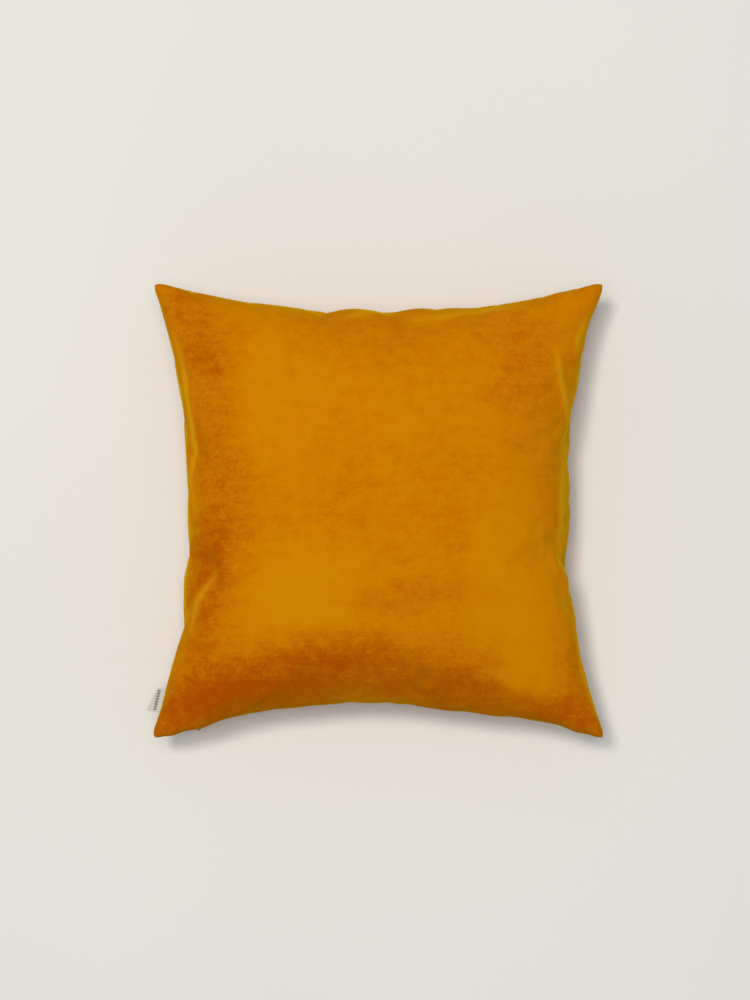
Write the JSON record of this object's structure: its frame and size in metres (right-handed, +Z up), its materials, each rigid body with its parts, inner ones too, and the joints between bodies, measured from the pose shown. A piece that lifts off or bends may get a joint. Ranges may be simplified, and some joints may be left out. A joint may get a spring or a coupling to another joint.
{
  "type": "throw pillow",
  "caption": "Square velvet cushion lying on its back: a zipped cover with pointed corners, concave sides and a folded side label, around a filled insert.",
  "frame": {"origin": "centre of the flat patch on the back that the cushion lies on", "axes": "+Z up out of the front face, +Y towards the side opposite the zip, +X to the right seen from the front"},
  "size_m": [0.4785, 0.48, 0.146],
  "materials": {
    "velvet": "matte",
    "sewing_thread": "matte",
    "zip_tape": "matte",
    "zip_coil": "satin",
    "zip_metal": "satin",
    "stop_metal": "satin",
    "label_weave": "matte",
    "care_satin": "satin",
    "insert_cotton": "matte",
    "insert_thread": "matte",
    "filling_fibre": "matte"
  },
  "bodies": {
    "pillow": {"cover_front": "velvet", "cover_back": "velvet", "cover_seam_stitching": "sewing_thread", "cover_overlock_threads": "sewing_thread", "zip_tape_front": "zip_tape", "zip_tape_back": "zip_tape", "zip_coil_front": "zip_coil", "zip_coil_back": "zip_coil", "zip_coil_threads": "zip_tape", "zip_tape_stitching": "sewing_thread", "zip_top_stops": "stop_metal", "zip_bottom_stop": "stop_metal", "zip_bar_tacks": "sewing_thread", "side_label_tails": "label_weave", "care_label": "care_satin", "insert_casing_front": "insert_cotton", "insert_casing_back": "insert_cotton", "insert_seam_stitching": "insert_thread", "insert_filling": "filling_fibre", "insert_label": "care_satin"},
    "zip_slider": {"zip_slider_body": "zip_metal"},
    "zip_pull_tab": {"zip_pull": "zip_metal"},
    "label_flap": {"side_label": "label_weave"}
  },
  "joints": [
    {"name": "zip_slide", "type": "hinge", "parent": "pillow", "child": "zip_slider", "pos_m": [0, -0.88768, 0.064], "axis": [0, 0, -1], "range_deg": [0, 30.35]},
    {"name": "pull_swing", "type": "hinge", "parent": "zip_slider", "child": "zip_pull_tab", "pos_m": [-0.18014, -0.22401, 0.064], "axis": [0, 0, 1], "range_deg": [-20, 160]},
    {"name": "label_bend", "type": "hinge", "parent": "pillow", "child": "label_flap", "pos_m": [-0.22724, -0.20091, 0.064], "axis": [0.2309, 0.973, 0], "range_deg": [-75, 75], "stiffness_Nm_per_rad": 0.0001}
  ]
}
